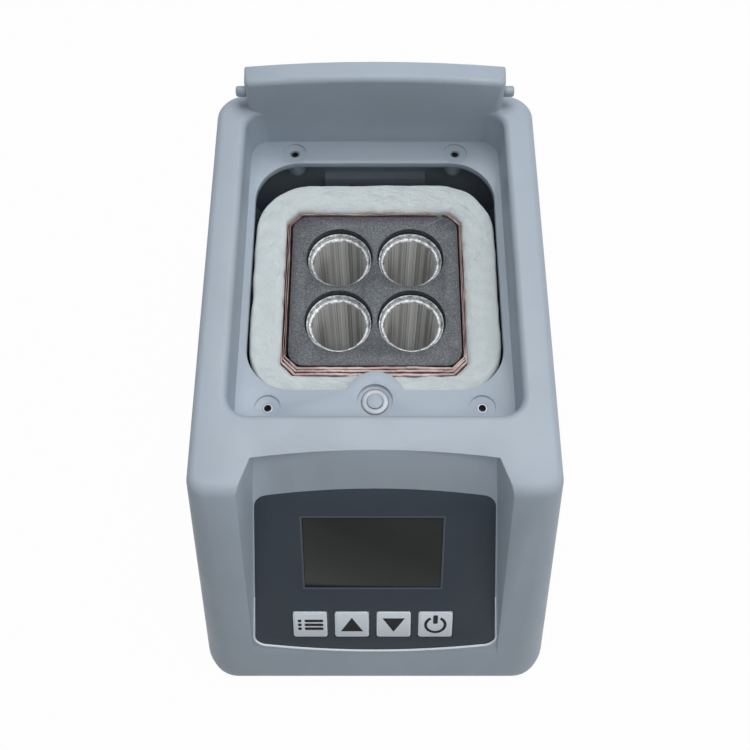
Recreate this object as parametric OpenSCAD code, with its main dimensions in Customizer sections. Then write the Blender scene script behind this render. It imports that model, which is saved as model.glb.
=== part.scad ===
// Bench reactor for digestion vials: a moulded housing with a sunken top, a heated
// four-well block in fibre insulation, a sloped key panel and a hinge bar for its lid.
// Millimetres, Z up, X to the right as seen from the front, Y to the back.
// The origin is the middle of the footprint, on the surface that it stands on.

/* [Housing] */
// Width of the flat top, side to side
body_w = 150; // [142:1:165]
// Front edge of the flat top, from the middle of the footprint
top_front_y = -70; // [-72:0.5:-67]
// Outward lean of the side walls, in degrees
side_draft = 2.3; // [0.5:0.1:3]
// Outward lean of the rear wall, in degrees
rear_draft = 1.5; // [0.5:0.1:3]
// Slope of the front face from horizontal, in degrees
front_slope = 60; // [58:0.5:63]
// Thickness of the moulded walls
wall = 3; // [2.4:0.1:3.4]
// Rounding of the top edges
top_round = 3.5; // [2:0.1:5]
// Rounding of the bottom edges
bottom_round = 6; // [3:0.5:8]
// Plan radius of the rear corners
rear_corner_r = 13; // [10:0.5:16]
// Plan radius of the front corners at the top
front_corner_r = 8; // [6:0.5:10]
// Plan radius of the front corners at the bottom
toe_corner_r = 15; // [12:0.5:18]

/* [Top recess] */
// Width of the sunken area
recess_w = 122; // [118:0.5:126]
// Flat land from the front edge of the top to the sunken area
front_land = 32.5; // [31:0.1:34]
// Flat land from the sunken area to the rear edge of the top
rear_land = 10.85; // [9:0.05:12]
// Length of the sunken area, front wall to hinge bar
recess_l = 153.75; // [152:0.25:155]
// Depth of the sunken floor under the top
recess_depth = 22.5; // [18:0.5:26]
// Plan radius of its corners
recess_r = 9; // [6:0.5:11]
// Rounding of its rim
rim_round = 3; // [1:0.25:4]
// Thickness of the sunken floor
floor_t = 3.2; // [2.4:0.1:4]
// Width of the opening in the floor
opening_w = 115.5; // [112:0.5:117]
// Length of the opening
opening_l = 120.9; // [118:0.1:122]
// Plan radius of the opening's corners
opening_r = 21; // [15:0.5:26]
// Web of floor between the opening and the rear wall of the recess
opening_rear_web = 13.05; // [12.5:0.05:14.5]

/* [Hinge bar] */
// Rise of the bar above the top, at its ends
bar_rise = 18.3; // [15:0.1:22]
// Extra rise of its arched top in the middle
bar_arch = 3.3; // [1:0.1:4]
// Width of the bar
bar_w = 120.6; // [116:0.2:121]
// Rounding of its front edges
bar_round = 3; // [1.5:0.25:3.5]
// Rounding of its rear edges
bar_rear_round = 1; // [0.6:0.1:2]
// Diameter of the hinge pins
pin_d = 5; // [4:0.1:6]
// Diameter of the pin's shank inside the bar
pin_shank_d = 4; // [3:0.1:4.6]
// Length of each pin outside the bar
pin_proud = 4.9; // [3:0.1:6]
// Length of each pin inside the bar
pin_grip = 16; // [10:1:20]
// Height of the pins' axis over the top
pin_rise = 7.5; // [5.5:0.1:10]

/* [Catch and cover screws] */
// Outer diameter of the catch magnet
magnet_od = 12.2; // [11:0.1:13]
// Bore of the catch magnet
magnet_id = 6.7; // [6:0.1:7.5]
// Thickness of the catch magnet
magnet_t = 3; // [2:0.25:3.5]
// Diameter of the sunk seat round the magnet
seat_d = 15.6; // [14.5:0.1:17]
// Depth of the magnet's face under the floor
seat_depth = 1.2; // [0.6:0.1:1.5]
// Radius of the floor's tab round the magnet
tab_r = 13.8; // [12.5:0.1:15]
// Magnet's centre from the front wall of the recess
magnet_inset = 14.9; // [13.5:0.1:16]
// Spacing of the front pair of threaded inserts
front_screw_pitch = 93.6; // [90:0.2:96]
// Spacing of the rear pair of threaded inserts
rear_screw_pitch = 79.2; // [74:0.2:84]
// Front pair's distance from the front wall of the recess
front_screw_inset = 11.6; // [10:0.1:13]
// Rear pair's distance from the rear wall of the recess
rear_screw_inset = 7.15; // [6.6:0.05:8]
// Outer diameter of a threaded insert
insert_od = 4.7; // [4.2:0.1:5.2]
// Bore of a threaded insert
insert_id = 3; // [2.5:0.1:3.2]
// Length of a threaded insert
insert_l = 6; // [4:0.5:8]
// Diameter of the shallow dimple round each insert
dimple_d = 11.5; // [10:0.5:12.5]
// Depth of the dimple
dimple_depth = 0.9; // [0.4:0.1:1.2]
// Diameter of the moulded screw bosses
boss_d = 9; // [8:0.1:10]
// Length of the screw bosses under the floor
boss_l = 12; // [9:0.5:14]

/* [Heating block] */
// Side of the square heating block
block_w = 79; // [76:0.5:81]
// Plan radius of its corners
block_r = 7.5; // [4:0.5:10]
// Height of the block
block_h = 66; // [60:1:68]
// Depth of the block's top under the sunken floor
block_drop = 6; // [4:0.5:8]
// Rear edge of the opening to the block's centre
block_setback = 66.9; // [65.5:0.1:68]
// Distance between neighbouring wells
well_pitch = 33.7; // [33:0.1:35]
// Bore of the block round each liner
well_hole_d = 31.6; // [31:0.1:32]
// Outer diameter of a well liner
liner_od = 30.5; // [30:0.1:30.8]
// Bore of a well liner
liner_bore = 24.8; // [22:0.1:25.6]
// Wider mouth of a well liner
liner_mouth_d = 28; // [26:0.1:28.6]
// Depth of that mouth
liner_mouth_depth = 2.5; // [1.5:0.25:4]
// Depth of the liner's rim under the block's top
liner_drop = 3; // [1:0.25:4]
// Floor of a liner
liner_floor = 4; // [3:0.25:6]

/* [Insulation] */
// Gap between block and heater film
film_gap = 0.9; // [0.5:0.1:1.2]
// Thickness of the heater film
film_t = 0.8; // [0.5:0.1:1]
// Stand of the film above the block's top
film_rise = 1; // [0:0.25:2]
// Outer side of the fibre wool
wool_w = 115; // [110:0.5:116]
// Plan radius of the wool's outer corners
wool_r = 27; // [20:0.5:34]
// Stand of the wool above the block's top
wool_rise = 2.4; // [1:0.1:3]
// Thickness of the board under the block
board_t = 6; // [4:0.5:7]

/* [Panel] */
// Top line of the panel recess behind the top's front edge
panel_setback = 17.1; // [15:0.1:18.5]
// Slope of the panel from horizontal, in degrees
panel_slope = 52.4; // [51:0.1:54]
// Half width of the panel recess where it starts
notch_half_w = 48.9; // [46:0.1:51]
// Half width of the panel recess at the overlay's bottom edge
cheek_half_w = 56; // [55:0.1:58]
// Lean of the recess's cheeks from square to the panel, in degrees
cheek_lean = 22; // [10:1:30]
// Drop of the notch's top edge at its ends, below its middle
notch_arch = 2; // [0.5:0.1:3]
// Overlay's top edge, down the slope from the top line
overlay_start = 19.1; // [18:0.1:22]
// Height of the overlay at its middle
overlay_h = 92.3; // [91:0.1:93]
// Width of the overlay at the top
overlay_top_w = 99.6; // [96:0.2:100.6]
// Width of the overlay at the bottom
overlay_bottom_w = 109; // [104:0.2:110]
// Bow of the overlay's top and bottom edges
overlay_bow = 4.2; // [2:0.1:5]
// Plan radius of the overlay's corners
overlay_r = 6; // [3:0.5:9]
// Thickness of the overlay
overlay_t = 1.2; // [0.8:0.1:1.4]
// Offset of the display and the keys from the middle
controls_x = -1; // [-2:0.1:2]
// Display window's centre, down the slope from the top line
display_u = 53.2; // [51.5:0.1:55]
// Display window's width
display_w = 59.5; // [56:0.5:62]
// Display window's height
display_h = 38.5; // [36:0.5:40]
// Keys' centre line, down the slope from the top line
key_u = 93.9; // [92.5:0.1:95]
// Width of a key
key_w = 15.2; // [14:0.1:16]
// Height of a key
key_h = 14.4; // [13:0.1:15]
// Distance between neighbouring keys
key_pitch = 18.75; // [18.2:0.05:19.5]
// Gap round a key
key_gap = 0.5; // [0.4:0.05:0.6]
// Travel of a key
key_travel = 0.8; // [0.5:0.1:0.9]
// Stand of a key above the overlay
key_proud = 0.5; // [0.2:0.1:0.8]

/* [Base] */
// Height of a foot
foot_h = 4; // [3:0.5:6]
// Diameter of a foot
foot_d = 16; // [12:0.5:20]
// Thickness of the base plate
base_t = 2; // [1.5:0.25:3]
// Height of the block's tray above the base plate
tray_lift = 6; // [5.9:0.1:9]
// Step from the housing's bottom edge in to the base plate's
base_inset = 0.6; // [0.4:0.1:1.5]
// Width of the mains inlet's opening
inlet_w = 27.5; // [27:0.1:28.5]
// Height of the mains inlet's opening
inlet_h = 20; // [19.5:0.1:21]
// Distance of the inlet's two screws
inlet_screw_pitch = 40; // [39:0.1:41]
// Height of the inlet's centre above the base plate
inlet_rise = 32; // [28:0.5:36]

/* [Hidden] */
$fn = 48;
e = 0.01;

// Heights
bottom_z = foot_h + base_t;
tray_t = 1.5;
tray_z = bottom_z + tray_lift;
board_z = tray_z + tray_t;
block_z = board_z + board_t;
block_top_z = block_z + block_h;
floor_z = block_top_z + block_drop;
top_z = floor_z + recess_depth;
body_h = top_z - foot_h;

// Places along Y
recess_front_y = top_front_y + front_land;
recess_rear_y = recess_front_y + recess_l;
top_rear_y = recess_rear_y + rear_land;
recess_y = recess_front_y + recess_l / 2;
opening_rear_y = recess_rear_y - opening_rear_web;
opening_y = opening_rear_y - opening_l / 2;
block_y = opening_rear_y - block_setback;
magnet_y = recess_front_y + magnet_inset;
pin_y = (recess_rear_y + top_rear_y) / 2;
panel_top_y = top_front_y + panel_setback;
front_screws = [for (s = [-1, 1]) [s * front_screw_pitch / 2, recess_front_y + front_screw_inset]];
rear_screws = [for (s = [-1, 1]) [s * rear_screw_pitch / 2, recess_rear_y - rear_screw_inset]];
cover_screws = concat(front_screws, rear_screws);
wells = [for (sx = [-1, 1], sy = [-1, 1]) [sx * well_pitch / 2, block_y + sy * well_pitch / 2]];

// Outline of the housing at height z
function half_w(z) = body_w / 2 + (top_z - z) * tan(side_draft);
function front_y(z) = top_front_y - (top_z - z) / tan(front_slope);
function rear_y(z) = top_rear_y + (top_z - z) * tan(rear_draft);
function toe_r(z) = front_corner_r + (toe_corner_r - front_corner_r) * (top_z - z) / body_h;

// Fixing points of the base plate and the feet
corner_inset = 9.5;
toe_inset = 14;
function corners(inset, toe) = [for (sx = [-1, 1], y = [front_y(bottom_z) + toe, rear_y(bottom_z) - inset])
    [sx * (half_w(bottom_z) - inset), y]];
base_fixings = corners(corner_inset, toe_inset);
feet_places = corners(corner_inset + 16, toe_inset + 18);
base_screw_d = 3;
base_boss_l = 16;

// Panel: rise measured square to it, u measured down its slope
backing_t = 3;
board_gap = 9;
pcb_t = 1.6;
keys_x = [for (i = [-1.5 : 1.5]) controls_x + i * key_pitch];
key_flange = 1.2;
key_flange_t = 1.2;
key_clear = 0.4;
switch_h = 3.5;
switch_w = 6;
switch_tip = 0.8;
tab_boss_t = seat_depth + magnet_t + 1.4;
window_ledge = 1;

// Block tray and what stands on the base
pillar_d = 8;
pillar_bore = 3;
tray_w = 100;
tray_in_w = tray_w - 2 * tray_t;
tray_in_r = 8;
tray_rim = 6;
tray_lug = 12;
tray_screw_l = 5;
tray_pillar_x = tray_w / 2 - 7;

module rounded(w, l, r) {
    square([w - 2 * r, l], center = true);
    square([w, l - 2 * r], center = true);
    for (sx = [-1, 1], sy = [-1, 1]) translate([sx * (w / 2 - r), sy * (l / 2 - r)]) circle(r);
}

module slab(w, l, r, z0, z1, y = 0) {
    translate([0, y, z0]) linear_extrude(z1 - z0) rounded(w, l, r);
}

// Corner circles of the housing's outline at height z, set in from it by inset
module corner_circles(z, inset) {
    for (s = [-1, 1]) {
        fr = max(toe_r(z) - inset, 1);
        rr = max(rear_corner_r - inset, 1);
        translate([s * (half_w(z) - inset - fr), front_y(z) + inset + fr]) circle(fr, $fn = 32);
        translate([s * (half_w(z) - inset - rr), rear_y(z) - inset - rr]) circle(rr, $fn = 32);
    }
}

module slice(z, inset) {
    translate([0, 0, z]) linear_extrude(e) corner_circles(z, inset);
}

module outer_form() {
    hull() {
        for (a = [0 : 22.5 : 90]) slice(top_z - top_round * (1 - sin(a)) - e, top_round * (1 - cos(a)));
        for (a = [0 : 30 : 90]) slice(bottom_z + bottom_round * (1 - sin(a)), bottom_round * (1 - cos(a)));
    }
}

module inner_form() {
    hull() {
        slice(top_z - wall - e, wall + top_round / 2);
        slice(top_z - 2 * wall, wall);
        slice(bottom_z + bottom_round, wall);
        slice(bottom_z - e, wall + bottom_round);
    }
}

// Ring cut off round the recess's rim, leaving a round edge
module rim_cut() {
    half_x = recess_w / 2 - recess_r;
    half_l = recess_l / 2 - recess_r;
    translate([0, recess_y, top_z - rim_round]) {
        for (s = [0, 1]) mirror([s, 0, 0]) translate([recess_w / 2, half_l, 0]) rotate([90, 0, 0])
            linear_extrude(2 * half_l) rim_profile();
        for (s = [0, 1]) mirror([0, s, 0]) translate([-half_x, recess_l / 2, 0]) rotate([90, 0, 90])
            linear_extrude(2 * half_x) rim_profile();
        for (sx = [0, 1], sy = [0, 1]) mirror([sx, 0, 0]) mirror([0, sy, 0]) translate([half_x, half_l, 0])
            rotate_extrude(angle = 90) translate([recess_r, 0]) rim_profile();
    }
}

module rim_profile() {
    difference() {
        translate([-e, 0]) square([rim_round + e, rim_round + 1]);
        translate([rim_round, 0]) circle(rim_round);
    }
}

// Height of the bar's arched top over x, a shallow circle through its ends and middle
arch_r = (bar_w * bar_w / 4 + bar_arch * bar_arch) / (2 * bar_arch);
function bar_top(x) = top_z + bar_rise + bar_arch - arch_r + sqrt(arch_r * arch_r - x * x);

// One upright edge row of the bar: balls along the arch over a foot at each end
module bar_edge(y, r) {
    reach = bar_w / 2 - r;
    for (i = [-4 : 4]) translate([reach * i / 4, y, bar_top(reach * i / 4) - r]) sphere(r, $fn = 16);
    for (s = [-1, 1]) translate([s * reach, y, floor_z - floor_t]) cylinder(r = r, h = 1, $fn = 32);
}

module hinge_bar() {
    hull() {
        bar_edge(recess_rear_y + bar_round, bar_round);
        bar_edge(rear_y(top_z) - bar_rear_round, bar_rear_round);
    }
}

// Panel coordinates: X across, Y up the slope, Z outward; the origin is on its top line
module on_panel() {
    translate([0, panel_top_y, top_z]) rotate([panel_slope, 0, 0]) children();
}

// Panel recess: cheeks widen down the slope and lean outward above the panel
module panel_cut() {
    height = 40;
    on_panel() hull() {
        linear_extrude(e) recess_outline(0);
        translate([0, 0, height]) linear_extrude(e) recess_outline(height * tan(cheek_lean));
    }
}

module recess_outline(spread) {
    reach = overlay_start + overlay_h + 50;
    widen = (cheek_half_w - notch_half_w) * reach / (overlay_start + overlay_h);
    low_half_w = notch_half_w + widen + spread;
    polygon([
        for (i = [-6 : 6]) [(notch_half_w + spread) * i / 6, -notch_arch * pow(i / 6, 2)],
        [low_half_w, -reach], [-low_half_w, -reach]]);
}

// Outline of the overlay, grown by grow on every side
module overlay_outline(grow = 0) {
    top_x = overlay_top_w / 2;
    low_x = overlay_bottom_w / 2;
    mid = -overlay_start - overlay_bow;
    low = -overlay_start - overlay_h + overlay_bow;
    offset(r = overlay_r + grow) offset(delta = -overlay_r) polygon([
        for (i = [-6 : 6]) [top_x * i / 6, mid + overlay_bow * (1 - pow(i / 6, 2))],
        for (i = [6 : -1 : -6]) [low_x * i / 6, low - overlay_bow * (1 - pow(i / 6, 2))]]);
}

// Window through the panel, for the display or a key
module window(x, u, w, h, grow, z0, z1) {
    translate([x, -u, z0]) linear_extrude(z1 - z0) square([w + 2 * grow, h + 2 * grow], center = true);
}

module housing() {
    color([0.66, 0.71, 0.76]) difference() {
        union() {
            difference() {
                outer_form();
                inner_form();
                rim_cut();
            }
            intersection() {
                outer_form();
                union() {
                    difference() {
                        slab(recess_w + 2 * wall, recess_l + 2 * wall, recess_r + wall, floor_z - floor_t,
                            top_z, recess_y);
                        rim_cut();
                    }
                    on_panel() translate([-cheek_half_w - wall, -150, -backing_t])
                        cube([2 * (cheek_half_w + wall), 170, 20]);
                    base_bosses();
                    inlet_frame();
                }
            }
            hinge_bar();
            for (p = cover_screws) translate([p[0], p[1], floor_z - boss_l])
                cylinder(d = boss_d, h = boss_l);
            translate([0, magnet_y, floor_z - tab_boss_t]) cylinder(r = tab_r - 2, h = tab_boss_t);
            board_posts();
        }
        slab(recess_w, recess_l, recess_r, floor_z, top_z + e, recess_y);
        difference() {
            slab(opening_w, opening_l, opening_r, floor_z - floor_t - 2, floor_z + e, opening_y);
            translate([0, magnet_y, floor_z - 20]) cylinder(r = tab_r, h = 30);
        }
        panel_cut();
        on_panel() translate([0, 0, -overlay_t]) linear_extrude(30) overlay_outline(0.15);
        on_panel() panel_windows(-backing_t - 6, 1);
        for (p = cover_screws) translate([p[0], p[1], 0]) {
            translate([0, 0, floor_z - dimple_depth]) cylinder(d = dimple_d, h = 5);
            translate([0, 0, floor_z - dimple_depth - insert_l]) cylinder(d = insert_od, h = insert_l + 1);
            translate([0, 0, floor_z - boss_l + 1]) cylinder(d = insert_id, h = boss_l);
        }
        difference() {
            translate([0, magnet_y, floor_z - seat_depth - magnet_t]) cylinder(d = magnet_od, h = 10);
            translate([0, magnet_y, floor_z - 10]) cylinder(d = magnet_id, h = 10 - seat_depth + 0.4);
        }
        difference() {
            translate([0, magnet_y, floor_z - seat_depth - 0.6]) cylinder(d = seat_d, h = 10);
            translate([0, magnet_y, floor_z - 10]) cylinder(d = magnet_id, h = 10 - seat_depth + 0.4);
        }
        for (s = [-1, 1]) translate([s * (bar_w / 2 - pin_grip), pin_y, top_z + pin_rise])
            rotate([0, s * 90, 0]) cylinder(d = pin_shank_d, h = 40);
        for (p = base_fixings) translate([p[0], p[1], bottom_z - 1]) cylinder(d = base_screw_d, h = 13);
        inlet_cut();
    }
}

module base_bosses() {
    for (p = base_fixings) translate([p[0], p[1], bottom_z]) cylinder(d = boss_d, h = base_boss_l);
}

// Posts behind the panel that carry the control board
board_half_w = 47;
board_top_u = 26;
board_low_u = 106;
board_screw_d = 2.5;
board_screw_l = 5;
board_posts_at = [for (sx = [-1, 1], u = [board_top_u + 5, board_low_u - 5]) [sx * (board_half_w - 4), -u]];
module board_posts() {
    on_panel() for (p = board_posts_at) translate([p[0], p[1], -backing_t - board_gap])
        difference() {
            cylinder(d = 7, h = board_gap + 1);
            translate([0, 0, -1]) cylinder(d = board_screw_d, h = board_screw_l + 2);
        }
}

module panel_windows(z0, z1) {
    window(controls_x, display_u, display_w, display_h, -window_ledge, z0, z1);
    for (x = keys_x) window(x, key_u, key_w, key_h, key_gap, z0, z1);
}

// Mains inlet, in a sunk frame of the rear wall
inlet_z = bottom_z + inlet_rise;
inlet_frame_w = inlet_screw_pitch + 14;
inlet_frame_h = inlet_h + 12;
inlet_back_y = top_rear_y - 3;
inlet_wall = 3;
inlet_flange_t = 2.5;
inlet_screw_d = 3;
inlet_screw_l = 5.5;
inlet_fit = 0.4;
drawer_w = inlet_w - 8;
drawer_h = 3.2;
drawer_depth = 8;
drawer_place = [0, 2.6 - inlet_h / 2, -drawer_depth];

module inlet_frame() {
    translate([-inlet_frame_w / 2, inlet_back_y - inlet_wall, inlet_z - inlet_frame_h / 2])
        cube([inlet_frame_w, 20, inlet_frame_h]);
}

module inlet_cut() {
    translate([0, inlet_back_y, inlet_z]) rotate([-90, 0, 0])
        linear_extrude(30) rounded(inlet_frame_w - 4, inlet_frame_h - 4, 3);
    translate([-inlet_w / 2, inlet_back_y - 30, inlet_z - inlet_h / 2]) cube([inlet_w, 40, inlet_h]);
    for (s = [-1, 1]) translate([s * inlet_screw_pitch / 2, inlet_back_y - inlet_wall - 1, inlet_z])
        rotate([-90, 0, 0]) cylinder(d = inlet_screw_d, h = 10);
}

module hinge_pins() {
    neck = 0.3;
    tip = 0.6;
    color([0.6, 0.63, 0.67]) for (s = [0, 1]) mirror([s, 0, 0])
        translate([bar_w / 2, pin_y, top_z + pin_rise]) rotate([0, 90, 0]) {
            translate([0, 0, -pin_grip]) cylinder(d = pin_shank_d, h = pin_grip + neck);
            translate([0, 0, neck]) cylinder(d = pin_d, h = pin_proud - neck - tip);
            translate([0, 0, pin_proud - tip])
                rotate_extrude() polygon([[0, 0], [pin_d / 2, 0], [pin_d / 2 - tip, tip], [0, tip]]);
        }
}

module catch_magnet() {
    color([0.86, 0.88, 0.9]) translate([0, magnet_y, floor_z - seat_depth - magnet_t]) difference() {
        cylinder(d = magnet_od, h = magnet_t);
        translate([0, 0, -1]) cylinder(d = magnet_id, h = magnet_t + 2);
    }
}

module threaded_inserts() {
    color([0.75, 0.7, 0.55]) for (p = cover_screws)
        translate([p[0], p[1], floor_z - dimple_depth - insert_l]) difference() {
            cylinder(d = insert_od, h = insert_l);
            translate([0, 0, -1]) cylinder(d = insert_id, h = insert_l + 2);
        }
}

// Base plate: a flat closure with screw holes, feet holes and vents under the block
module base_plate() {
    color([0.2, 0.22, 0.24]) difference() {
        translate([0, 0, foot_h]) linear_extrude(base_t)
            hull() corner_circles(bottom_z, bottom_round + base_inset);
        for (p = base_fixings) translate([p[0], p[1], foot_h - 1])
            cylinder(d = base_screw_d + 0.4, h = base_t + 2);
        for (i = [-4 : 4]) translate([i * 9 - 1.5, block_y - 25, foot_h - 1]) cube([3, 50, base_t + 2]);
    }
}

module feet() {
    color([0.1, 0.1, 0.11]) for (p = feet_places) translate([p[0], p[1], 0])
        rotate_extrude()
            polygon([[0, 0], [foot_d / 2 - 1.5, 0], [foot_d / 2 - 1, 0.5], [foot_d / 2, foot_h],
                [0, foot_h]]);
}

module base_screws() {
    color([0.6, 0.6, 0.62]) for (p = base_fixings) translate([p[0], p[1], foot_h - 1.8])
        rotate_extrude() polygon([[0, 0], [2.4, 0], [3, 0.6], [3, 1.8], [base_screw_d / 2, 1.8],
            [base_screw_d / 2, base_t + 12], [0, base_t + 12]]);
}

module heating_block() {
    color([0.42, 0.41, 0.41]) difference() {
        slab(block_w, block_w, block_r, block_z, block_top_z, block_y);
        for (p = wells) translate([p[0], p[1], block_z - 1]) cylinder(d = well_hole_d, h = block_h + 2);
        probe_path(probe_d);
    }
}

module well_liners() {
    rim = block_top_z - liner_drop;
    color([0.85, 0.86, 0.87]) for (p = wells) translate([p[0], p[1], 0]) difference() {
        translate([0, 0, block_z]) cylinder(d = liner_od, h = rim - block_z);
        translate([0, 0, block_z + liner_floor]) cylinder(d = liner_bore, h = block_h);
        translate([0, 0, rim - liner_mouth_depth]) cylinder(d = liner_mouth_d, h = 10);
        translate([0, 0, rim - 0.6]) rotate_extrude()
            polygon([[0, 0], [liner_mouth_d / 2, 0], [liner_mouth_d / 2 + 0.6, 0.6], [0, 0.6 + e]]);
    }
}

// Square wrap with cut corners, between two offsets from the block
module wrap(w, cut) {
    polygon([for (q = [[1, 1], [-1, 1], [-1, -1], [1, -1]])
        each (q[0] * q[1] > 0
            ? [[q[0] * w / 2, q[1] * (w / 2 - cut)], [q[0] * (w / 2 - cut), q[1] * w / 2]]
            : [[q[0] * (w / 2 - cut), q[1] * w / 2], [q[0] * w / 2, q[1] * (w / 2 - cut)]])]);
}

film_in = block_w + 2 * film_gap;
film_out = film_in + 2 * film_t;
film_cut_in = sqrt(2) * block_r * (sqrt(2) - 1) + film_gap * (2 - sqrt(2));
film_cut_out = film_cut_in + film_t * (2 - sqrt(2));
module heater_film() {
    color([0.48, 0.33, 0.28]) translate([0, block_y, block_z]) linear_extrude(block_h + film_rise)
        difference() {
            wrap(film_out, film_cut_out);
            wrap(film_in, film_cut_in);
        }
}

module fibre_wool() {
    color([0.93, 0.94, 0.92]) difference() {
        union() {
            slab(wool_w, wool_w, wool_r, block_z, block_top_z + wool_rise - 3, block_y);
            slab(wool_w - 3, wool_w - 3, wool_r - 1.5, block_z, block_top_z + wool_rise, block_y);
        }
        translate([0, block_y, block_z - 1]) linear_extrude(block_h + 10) wrap(film_out, film_cut_out);
        for (x = [-1, 1]) translate([x * front_screw_pitch / 2, front_screws[0][1], floor_z - boss_l - 1])
            cylinder(d = boss_d + 1, h = 30);
        translate([0, magnet_y, floor_z - tab_boss_t - 0.4]) cylinder(r = tab_r, h = 30);
    }
}

module insulation_board() {
    color([0.88, 0.87, 0.82]) difference() {
        slab(tray_in_w, tray_in_w, tray_in_r, board_z, block_z, block_y);
        probe_path(probe_d + probe_clear);
    }
}

tray_pillars_at = [for (sx = [-1, 1], sy = [-1, 1])
    [sx * (tray_w + tray_lug) / 2, block_y + sy * tray_pillar_x]];

module block_tray() {
    color([0.72, 0.73, 0.74]) difference() {
        union() {
            slab(tray_w, tray_w, tray_in_r + 1, tray_z, board_z + tray_rim, block_y);
            for (p = tray_pillars_at) translate([p[0] - tray_lug / 2, p[1] - tray_lug / 2, tray_z])
                cube([tray_lug, tray_lug, tray_t]);
        }
        slab(tray_in_w, tray_in_w, tray_in_r, board_z, block_top_z, block_y);
        for (p = tray_pillars_at) translate([p[0], p[1], tray_z - 1])
            cylinder(d = pillar_bore + 0.4, h = tray_t + 2);
        probe_path(probe_d + probe_clear);
    }
}

module tray_pillars() {
    color([0.78, 0.76, 0.6]) for (p = tray_pillars_at) translate([p[0], p[1], bottom_z]) difference() {
        cylinder(d = pillar_d, h = tray_z - bottom_z, $fn = 6);
        translate([0, 0, -1]) cylinder(d = pillar_bore, h = tray_z);
    }
}

module tray_screws() {
    color([0.6, 0.6, 0.62]) for (p = tray_pillars_at) translate([p[0], p[1], tray_z + tray_t])
        rotate_extrude() polygon([[0, -tray_screw_l], [pillar_bore / 2, -tray_screw_l],
            [pillar_bore / 2, 0], [2.8, 0], [2.8, 1.2], [2.2, 1.8], [0, 1.8]]);
}

// Sensor up the middle of the block, between the wells, and the safety switch under the tray
probe_d = 4;
probe_l = 25;
probe_collar_d = 7.5;
probe_collar_t = 2;
probe_clear = 0.6;
cutout_back = 22;
cutout_h = 4;
module probe_path(d) {
    translate([0, block_y, tray_z - probe_collar_t])
        cylinder(d = d, h = block_z + probe_l - tray_z + probe_collar_t);
}

module temperature_probe() {
    color([0.7, 0.7, 0.72]) {
        probe_path(probe_d);
        translate([0, block_y, tray_z - probe_collar_t]) cylinder(d = probe_collar_d, h = probe_collar_t);
    }
}

module thermal_cutout() {
    color([0.85, 0.83, 0.78]) translate([0, block_y - cutout_back, tray_z - cutout_h]) {
        cylinder(d = 14, h = cutout_h);
        translate([-9, -3.5, cutout_h - 1]) cube([18, 7, 1]);
        for (s = [-1, 1]) translate([s * 4 - 0.4, -3, -1.2]) cube([0.8, 6, 1.5]);
    }
}

module panel_overlay() {
    color([0.21, 0.24, 0.27]) on_panel() difference() {
        translate([0, 0, -overlay_t]) linear_extrude(overlay_t) overlay_outline();
        window(controls_x, display_u, display_w, display_h, 0, -10, 10);
        for (x = keys_x) window(x, key_u, key_w, key_h, key_gap, -10, 10);
    }
}

module display_glass() {
    color([0.18, 0.19, 0.19]) on_panel()
        window(controls_x, display_u, display_w, display_h, 0, -overlay_t, -overlay_t + 0.9);
}

// Display on the control board, facing the window
module display_module() {
    face = -backing_t - 0.5;
    color([0.13, 0.14, 0.14]) on_panel() difference() {
        window(controls_x, display_u, display_w, display_h, 4, -backing_t - board_gap, face);
        window(controls_x, display_u, display_w, display_h, -1.5, face - 1, face + 1);
    }
}

module control_board() {
    back = -backing_t - board_gap - pcb_t;
    color([0.1, 0.3, 0.18]) on_panel() difference() {
        translate([-board_half_w, -board_low_u, back])
            cube([2 * board_half_w, board_low_u - board_top_u, pcb_t]);
        for (p = board_posts_at) translate([p[0], p[1], back - 1])
            cylinder(d = board_screw_d + 0.4, h = pcb_t + 2);
    }
}

module board_screws() {
    back = -backing_t - board_gap - pcb_t;
    color([0.6, 0.6, 0.62]) on_panel() for (p = board_posts_at) translate([p[0], p[1], back])
        rotate([180, 0, 0]) rotate_extrude() polygon([
            [0, -pcb_t - board_screw_l], [board_screw_d / 2, -pcb_t - board_screw_l],
            [board_screw_d / 2, 0], [2.5, 0], [2.5, 1.2], [0, 1.8]]);
}

module key_switches() {
    color([0.15, 0.15, 0.16]) on_panel() for (x = keys_x) {
        window(x, key_u, switch_w, switch_w, 0, -backing_t - board_gap, -backing_t - board_gap + switch_h);
        translate([x, -key_u, -backing_t - board_gap + switch_h - e])
            cylinder(d = 3.4, h = switch_tip);
    }
}

// Key cap with a flange behind the panel and a stem over its switch
module key_cap(x) {
    top = key_proud;
    flange_z = -backing_t - key_clear;
    stem_low = -backing_t - board_gap + switch_h + switch_tip + key_travel + 0.3;
    color([0.72, 0.75, 0.78]) on_panel() translate([x, -key_u, 0]) {
        translate([0, 0, flange_z - key_flange_t]) linear_extrude(top - flange_z + key_flange_t)
            rounded(key_w, key_h, 1.2);
        translate([0, 0, flange_z - key_flange_t]) linear_extrude(key_flange_t)
            rounded(key_w + 2 * key_flange, key_h + 2 * key_flange, 1.5);
        translate([0, 0, stem_low]) cylinder(d = 4, h = flange_z - stem_low);
    }
}

// Power board on the base in front of the block, on four spacers
power_w = 112;
power_l = 34;
power_y = block_y - wool_w / 2 - 20 - power_l / 2;
power_z = bottom_z + 6;
power_fixings = [for (sx = [-1, 1], sy = [-1, 1])
    [sx * (power_w / 2 - 5), power_y + sy * (power_l / 2 - 5)]];
module power_board() {
    color([0.1, 0.3, 0.18]) difference() {
        translate([-power_w / 2, power_y - power_l / 2, power_z]) cube([power_w, power_l, pcb_t]);
        for (p = power_fixings) translate([p[0], p[1], power_z - 1]) cylinder(d = 3, h = 5);
    }
}

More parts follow.
